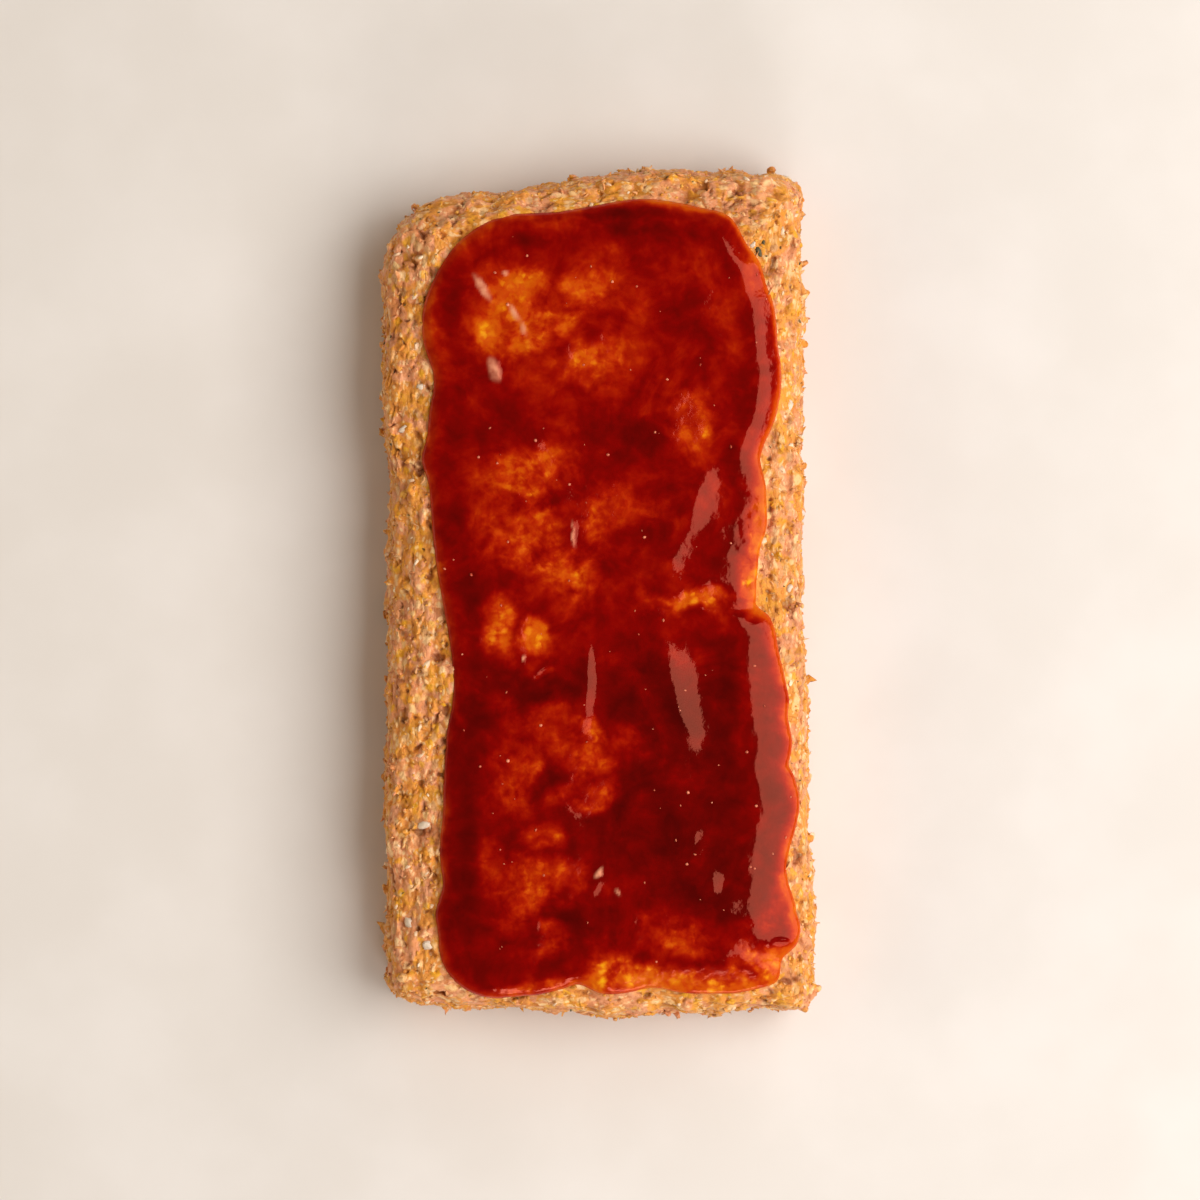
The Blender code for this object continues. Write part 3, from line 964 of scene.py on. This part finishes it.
def lay_chips(name, ground, draw, finish, places, wide, thick):
    """One piece of a few larger chips, each laid at its own place on the ground."""
    surface = surface_of(ground)
    shapes = bit_shapes(name + "_shape", draw, len(places), 1.0, wide, thick, 9, 0.2, 0.35)
    whole = bmesh.new()
    for sample, (x, y, length, turn) in zip(list(shapes.objects), places):
        spot, normal = met_from_above(surface, x * MM, y * MM)
        up = Vector((0.0, 0.0, 1.0))
        lean = up.rotation_difference(normal + CHIP_LEVEL * up).to_matrix().to_4x4()
        spin = Matrix.Rotation(math.radians(turn), 4, "Z")
        mesh = sample.data
        mesh.transform(Matrix.Translation(spot) @ lean @ spin @ Matrix.Scale(length, 4))
        whole.from_mesh(mesh)
        bpy.data.objects.remove(sample)
    bpy.data.collections.remove(shapes)
    mesh = mesh_of(whole, name)
    store_value(mesh, "tone", np.full(len(mesh.vertices), CHIP_TONE))
    mesh.materials.append(finish)
    return smooth(link_object(name, mesh))


# Glaze


def flat_slab(name, outline):
    """The plan of the glaze as a thin flat slab of even fine faces, with a plain underside."""
    shape = bmesh.new()
    verts = [shape.verts.new((x, y, -SLAB_HALF)) for x, y in outline]
    face = shape.faces.new(verts)
    grown = bmesh.ops.extrude_face_region(shape, geom=[face])
    lifted = [g for g in grown["geom"] if isinstance(g, bmesh.types.BMVert)]
    bmesh.ops.translate(shape, verts=lifted, vec=(0, 0, 2 * SLAB_HALF))
    bmesh.ops.recalc_face_normals(shape, faces=shape.faces)
    slab = remesh(link_object(name, mesh_of(shape, name)), GLAZE_GRAIN)
    shape = bmesh.new()
    shape.from_mesh(slab.data)
    shape.normal_update()
    close_hole(shape, [f for f in shape.faces if f.normal.z < -0.95])
    bmesh.ops.recalc_face_normals(shape, faces=shape.faces)
    shape.to_mesh(slab.data)
    shape.free()
    return slab


def wandered(plan):
    """The plan in millimetres, pulled about so that blots drawn on it have uneven edges."""
    return plan / MM + 5.0 * pull(plan, 15 * MM, 2, 3.1, 8.7) + 1.7 * pull(plan, 5 * MM, 3, 4.6, 1.9)


def blot(place, x, y, across, along, turn=0.0):
    """1 in the middle of an uneven oval blot, falling to 0 round its edge."""
    offset = place - (x, y)
    cosine, sine = math.cos(math.radians(turn)), math.sin(math.radians(turn))
    side = (offset[:, 0] * cosine + offset[:, 1] * sine) / across
    far = (offset[:, 1] * cosine - offset[:, 0] * sine) / along
    return 1 - smoothstep(np.hypot(side, far), 0.30, 1.25)


def raised(values, place, blots):
    """The values, raised to the amount of each blot where it lies."""
    for x, y, across, along, amount in blots:
        values = np.maximum(values, amount * blot(place, x, y, across, along))
    return values


def thinness(plan, place):
    """How thin the glaze is over the plan, from 0 where it is deep to about 1."""
    thin = raised(np.zeros(len(plan)), place, THIN_PLACES)
    thin += 0.14 * cloud(plan, 10 * MM, 3, 5.5) + 0.03
    return np.clip(thin, 0.0, 1.0)


def deepness(edge, place):
    """How many millimetres deeper than usual the sauce lies."""
    trough = TROUGH_DEPTH * np.exp(-(((edge - TROUGH_AT) / (0.4 * TROUGH_AT)) ** 2))
    return raised(trough, place, DEEP_PLACES)


def paleness(plan):
    """How far pale shreds, and the painted highlights drawn like them, show through the glaze over the plan,
    from 0 to 1.
    """
    place = plan / MM + 0.6 * pull(plan, 3 * MM, 2, 7.3, 2.8)
    pale = np.zeros(len(plan))
    for shred in PALE_SHREDS_AND_HIGHLIGHTS:
        pale = np.maximum(pale, blot(place, *shred))
    return pale


def along_mark(place, x0, y0, x1, y1):
    """For a mark in the plan: how far to its right each place is, and its fade at the ends."""
    start = np.array([x0, y0], float)
    run = np.array([x1, y1], float) - start
    length = np.linalg.norm(run)
    run /= length
    offset = place - start
    along = offset @ run
    right = offset @ np.array([-run[1], run[0]])
    return right, band(along / length, -0.15, 0.50, 0.60, 1.15)


def spoon_marks(plan):
    """The height of the ridges and the lap that the spoon left, in metres."""
    place = plan / MM + 1.2 * pull(plan, 18 * MM, 2, 1.3, 6.1)
    height = np.zeros(len(plan))
    for x0, y0, x1, y1, rise, before, behind in SPOON_MARKS:
        right, fade = along_mark(place, x0, y0, x1, y1)
        width = np.where(right < 0, before, behind)
        height += rise * fade * np.exp(-((right / width) ** 2))
    (x0, y0), (x1, y1) = LAP_LINE
    right, fade = along_mark(place, x0, y0, x1, y1)
    height += LAP_HEIGHT * fade * band(-right, -LAP_WIDTH, LAP_WIDTH, 6 * LAP_WIDTH, 20 * LAP_WIDTH)
    x, y, across, along, rise = BURST_BUBBLE
    ring = np.hypot((plan[:, 0] / MM - x) / across, (plan[:, 1] / MM - y) / along)
    height += rise * (np.exp(-(((ring - 1) / 0.35) ** 2)) - 0.8 * np.exp(-((ring / 0.6) ** 2)))
    return height * MM


def make_glaze(outline, level):
    """The glaze: a round rim, a wet surface with spoon marks, and its depth for the colour."""
    glaze = flat_slab("tomato_glaze", outline)
    places = vertex_places(glaze.data)
    plan = places[:, :2]
    share = np.clip(places[:, 2] / (2 * SLAB_HALF) + 0.5, 0.0, 1.0)
    edge = outline_distance(plan, outline)
    right = smoothstep(plan[:, 0], *RIGHT_FROM)
    front = right * (1 - smoothstep(plan[:, 1], *FRONT_FROM))
    rim_width, rim_swell = (
        left + (middle - left) * right + (low - middle) * front
        for left, middle, low in (RIM_WIDTH, RIM_SWELL)
    )
    waist = band(plan[:, 1], *WAIST) * right**2
    start = RIM_START + (WAIST_EDGE - RIM_START) * waist
    bow = np.clip(edge / rim_width, 0.0, 1.0)
    rim = start + (1 - start) * (1 - (1 - bow) ** RIM_ROUND)
    swell = rim_swell * (1 - waist) * np.exp(-(((edge - rim_width) / (0.7 * rim_width)) ** 2))
    place = wandered(plan)
    thin = thinness(plan, place) * (0.75 + 0.25 * smoothstep(edge, 0, 4 * MM))
    deep = deepness(edge, place)
    pale = paleness(plan)
    marks = spoon_marks(plan)
    swirl = sum(height * cloud(plan, size, 2, seed) for size, height, seed in SWIRLS)
    crumbs = CRUMBS_LIFT * np.abs(cloud(plan, 3.2 * MM, 2, 9.9)) * thin + SHREDS_LIFT * pale
    depth = GLAZE_FULL + swirl + swell + marks - THIN_SINKS * thin
    ground = level.at(plan)
    top = ground + (depth + crumbs) * rim
    bottom = ground - GLAZE_SUNK
    places[:, 2] = bottom + (top - bottom) * share
    set_vertex_places(glaze.data, places)
    film = GLAZE_FULL + swirl - THIN_LOSES * thin + MARKS_IN_FILM * marks + deep * MM
    film += FRONT_DEEPER * band(-plan[:, 1], *FRONT_DEEPER_AT)
    film -= BACK_THINNER * smoothstep(plan[:, 1], *BACK_THINNER_AT)
    # Painted light in part: the right edge is paler and wider, as if the sauce there were lit from the right.
    rim_film, rim_pale = (left + (other - left) * right for left, other in (RIM_FILM, RIM_PALE))
    rim_pale *= 1 - RIM_PALE_LOSS * right * smoothstep(plan[:, 1], *RIM_PALE_BACK)
    film = np.maximum(film * (rim_film + (1 - rim_film) * smoothstep(edge / rim_pale, 0, 1)), GLAZE_LEAST)
    room = (edge > 2.0 * MM) * (share > 0.9)
    for name, values in {"film": film / MM, "thin": thin, "pale": pale, "room": room}.items():
        store_value(glaze.data, name, values)
    glaze.data.materials.append(glaze_finish())
    return smooth(glaze)


# Finishes


def new_finish(name, **constants):
    """A material with its Principled shader. What is the same all over is set on its sockets."""
    material = bpy.data.materials.new(name)
    material.use_nodes = True
    bench = Bench(material.node_tree)
    shader = material.node_tree.nodes["Principled BSDF"]
    for key, value in constants.items():
        shader.inputs[key.replace("_", " ")].default_value = value
    place = bench.node("ShaderNodeTexCoord")["Object"]
    return material, bench, shader, place


def feed(bench, shader, **links):
    for key, link in links.items():
        bench.tree.links.new(link.socket, shader.inputs[key.replace("_", " ")])


def attribute(bench, name):
    return bench.node("ShaderNodeAttribute", {"attribute_name": name})["Fac"]


def bump(bench, height, distance):
    return bench.node("ShaderNodeBump", None, {"Height": height, "Distance": distance})["Normal"]


def mince_finish():
    """Raw mince: flecks of pink meat, fat and golden crumbs, painted shade in its clefts and grain, painted
    highlights on its crests and small flecks, and wet here and there.
    """
    material, bench, shader, place = new_finish("raw_mince", Specular_Tint=MINCE_GLEAM)
    rise = attribute(bench, "rise")
    coarse = bench.bent(place, 5 * MM, 3.5 * MM)
    fine = bench.squeezed(bench.bent(place, 1.8 * MM, 1.3 * MM), 0.55)
    ochre = bench.noise(coarse, 7 * MM, 3.0, 0.6).ramp(0.47, 0.59)
    pink = bench.noise(coarse, 8 * MM, 2.0, 0.5, 0.4).ramp(0.48, 0.56)
    grain = bench.noise(fine, 1.0 * MM, 3.0, 0.65)
    far, pale, golden, brown = bench.flecks(bench.squeezed(coarse, 0.7), 2.5 * MM)
    near, bright, tawny, dull = bench.flecks(fine, 1.1 * MM)
    middle = 1 - far.ramp(0.30, 0.66)
    base = bench.mix(pink, MINCE_TAN, MINCE_PINK)
    for share, shade in (
        (ochre * (1 - pink * 0.7) * 0.74, MINCE_OCHRE),
        (tawny.ramp(0.45, 0.95) * 0.45, MINCE_TAWNY),
        (dull.ramp(0.40, 0.95) * 0.30, MINCE_DULL),
        (golden.ramp(0.70, 0.80) * middle * 0.80, MINCE_GOLDEN),
        (pale.ramp(0.62, 0.76) * middle * 0.80, MINCE_FAT),
        # Partly pale fat and partly painted glints: the middles of small bright flecks.
        (bright.ramp(0.66, 0.82) * (1 - near.ramp(0.30, 0.60)) * 0.62, MINCE_FAT_AND_GLINT),
        (brown.ramp(0.76, 0.90) * middle * 0.55, MINCE_BROWN),
        # Painted shade: darker where the fine grain dips in the bump.
        ((1 - grain.ramp(0.30, 0.50)) * 0.50, MINCE_GRAIN_SHADE),
        # Painted shade: brown where the relief sinks into clefts and pits.
        ((1 - rise.ramp(-1.8, -0.3)) * 0.72, MINCE_CLEFT_SHADE),
        # Painted highlight: paler where the relief rises into crests.
        (rise.ramp(0.45, 1.5) * 0.20, MINCE_CREST_HIGHLIGHT),
    ):
        base = bench.mix(share, base, shade)
    feed(
        bench,
        shader,
        Base_Color=base,
        Roughness=0.52 - bright * 0.18 - grain * 0.14,
        Normal=bump(bench, grain * 0.9 - near * 0.35 - far * 0.3, 0.5 * MM),
    )
    return material


def bit_finish(name, tones, roughness, grain_size):
    """Loose bits in shades between two colours, each with its own tone and a fine grain."""
    material, bench, shader, place = new_finish(name)
    tone = attribute(bench, "tone")
    grain = bench.noise(place, grain_size, 3.0, 0.6)
    base = bench.mix((tone * 0.75 + grain * 0.5 - 0.12).clamp(), *tones)
    relief = bump(bench, grain, 0.25 * MM)
    feed(bench, shader, Base_Color=base, Roughness=roughness + grain * 0.15, Normal=relief)
    return material


def glaze_finish():
    """Tomato glaze: light is lost on its way through, so deep sauce is dark red and thin is orange."""
    material, bench, shader, place = new_finish("tomato_glaze", IOR=1.5, Specular_Tint=SAUCE_GLEAM)
    film = attribute(bench, "film")
    thin = attribute(bench, "thin")
    bent = bench.bent(place, 3 * MM, 2.2 * MM)
    lumpy = bench.bent(place, 2.4 * MM, 2.6 * MM)
    far, lit, yellow, _ = bench.flecks(lumpy, 3.0 * MM)
    crumb = (1 - far.ramp(0.10, 0.78)) * lit.ramp(0.05, 1.0)
    grit = bench.noise(bent, 1.5 * MM, 2.0, 0.5) - 0.5
    mottle = bench.noise(bent, 4.2 * MM, 2.0, 0.5) - 0.5
    blots = bench.noise(bent, 9 * MM, 3.0, 0.55, 0.5) - 0.5
    streaks = bench.noise(place, 24 * MM, 4.0, 0.6, 1.4) - 0.5
    depth = film + grit * (0.2 + thin * 0.9) + mottle * (0.8 + thin * 1.3)
    depth = depth + blots * (2.3 + thin) + streaks * 2.6
    depth = depth.math("MAXIMUM", depth, depth * 0.3 + 0.60) - crumb * thin * 0.8
    depth = depth.math("MAXIMUM", depth, LEAST_DEPTH)
    golden = (bench.noise(bent, 4 * MM, 2.0).ramp(0.40, 0.60) * 0.7 + yellow.ramp(0.4, 0.8) * 0.4).clamp()
    seen = bench.mix(golden, SAUCE_ON_MEAT, SAUCE_ON_CRUMBS)
    parts = bench.node("ShaderNodeSeparateColor", None, {"Color": seen})
    red = (depth * -RED_LOSS).exp() * parts["Red"]
    green = ((depth * -GREEN_LOSS).exp() * parts["Green"] - GREEN_LOST).clamp()
    blue = (depth * -BLUE_LOSS).exp() * parts["Blue"]
    base = bench.node("ShaderNodeCombineColor", None, {"Red": red, "Green": green, "Blue": blue})["Color"]
    pale = attribute(bench, "pale")
    # Pale shreds under the sauce, some of them painted highlights.
    base = bench.mix((pale * (0.75 + mottle * 2.4)).clamp(), base, SAUCE_ON_SHRED_AND_HIGHLIGHT)
    wet = bench.noise(place, 1.6 * MM, 3.0, 0.6)
    ripple = bench.noise(place, 3.2 * MM, 2.0, 0.5)
    feed(
        bench,
        shader,
        Base_Color=base,
        Roughness=0.07 + thin * 0.12,
        Normal=bump(bench, wet * (0.35 + thin * 0.8) + ripple, 0.07 * MM),
    )
    return material


def bubble_finish():
    """Small bubbles and seeds in the sauce, a little paler than it."""
    material, bench, shader, place = new_finish("glaze_bubbles", Roughness=0.10, IOR=1.42)
    tone = attribute(bench, "tone")
    speck = bench.noise(place, 0.6 * MM, 2.0)
    base = bench.mix((tone * 0.8 + speck * 0.3).clamp(), *BUBBLE_TONES)
    feed(bench, shader, Base_Color=base, Normal=bump(bench, speck, 0.08 * MM))
    return material


# Stage


def make_floor():
    """A plain pale floor with a faint mottle."""
    bpy.ops.mesh.primitive_plane_add(size=FLOOR_SIZE, location=(0, 0, 0))
    floor = bpy.context.object
    floor.name = "floor"
    material, bench, shader, place = new_finish("pale_floor", Roughness=0.75)
    mottle = bench.noise(place, 60 * MM, 4.0).ramp(0.35, 0.75)
    feed(bench, shader, Base_Color=bench.mix(mottle, *FLOOR_TONES))
    floor.data.materials.append(material)


def light_scene():
    """A broad window on the right, weak bounces from the other sides, and a dim room."""
    for name, (place, size, power, tint, mirrored) in LIGHTS.items():
        light = bpy.data.lights.new(name, "AREA")
        light.shape = "RECTANGLE"
        light.size, light.size_y = size
        light.energy = power
        light.color = tint
        made = link_object(name, light)
        made.location = place
        made.rotation_euler = (Vector(LIGHT_AIM) - Vector(place)).to_track_quat("-Z", "Y").to_euler()
        made.visible_glossy = mirrored
    world = bpy.data.worlds.new("room")
    world.use_nodes = True
    background = world.node_tree.nodes["Background"]
    background.inputs["Color"].default_value = ROOM_TINT
    background.inputs["Strength"].default_value = ROOM_LIGHT
    bpy.context.scene.world = world
    bpy.context.scene.view_settings.view_transform = "Standard"


def add_camera(glaze_top):
    """Straight down over the middle of the photograph's frame."""
    camera = bpy.data.cameras.new("camera")
    camera.sensor_width = SENSOR
    camera.lens = LENS
    made = link_object("camera", camera)
    made.location = (*PHOTO_MIDDLE, glaze_top + PHOTO_WIDTH * LENS / SENSOR)
    bpy.context.scene.camera = made


# The whole

bits_tree = scatter_tree()
draw = random.Random(7)
outline = pulled(plan_outline("glaze", OUTLINE_POINTS))
level = LevelMap("loaf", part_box("loaf")[1].z * MAP_LOWEST)
meat = make_meat(outline)
glaze = make_glaze(outline, level)

mince_skin = meat.data.materials[0]
mince = scatter("mince_ends", meat, draw, mince_skin)
shreds = scatter("mince_shreds", meat, draw, bit_finish("mince_shreds", SHRED_TONES, 0.40, 0.8 * MM))
flakes = scatter("torn_flakes", meat, draw, mince_skin)
crumbs = scatter("golden_crumbs", meat, draw, bit_finish("golden_crumbs", CRUMB_TONES, 0.50, 0.5 * MM))
onion = scatter("onion_bits", meat, draw, bit_finish("onion_bits", ONION_TONES, 0.28, 1.2 * MM))
herbs = scatter("herb_specks", meat, draw, bit_finish("herb_specks", HERB_TONES, 0.60, 0.4 * MM))
bubbles = scatter("glaze_bubbles", glaze, draw, bubble_finish())
chip_skin = bit_finish("onion_chips", CHIP_TONES, 0.25, 0.7 * MM)
leaf_skin = bit_finish("leaf_chips", LEAF_TONES, 0.45, 0.5 * MM)
chips = lay_chips("onion_chips", meat, draw, chip_skin, ONION_CHIPS, 0.62, 0.42)
leaves = lay_chips("leaf_chips", meat, draw, leaf_skin, LEAF_CHIPS, 0.50, 0.30)
thin_out(meat, MEAT_TRIANGLES)

for piece in (meat, mince, shreds, flakes, crumbs, onion, chips, herbs, leaves):
    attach(piece, "root")
for piece in (glaze, bubbles):
    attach(piece, "root")
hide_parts("loaf")
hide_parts("glaze")

make_floor()
light_scene()
add_camera(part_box("glaze")[1].z)
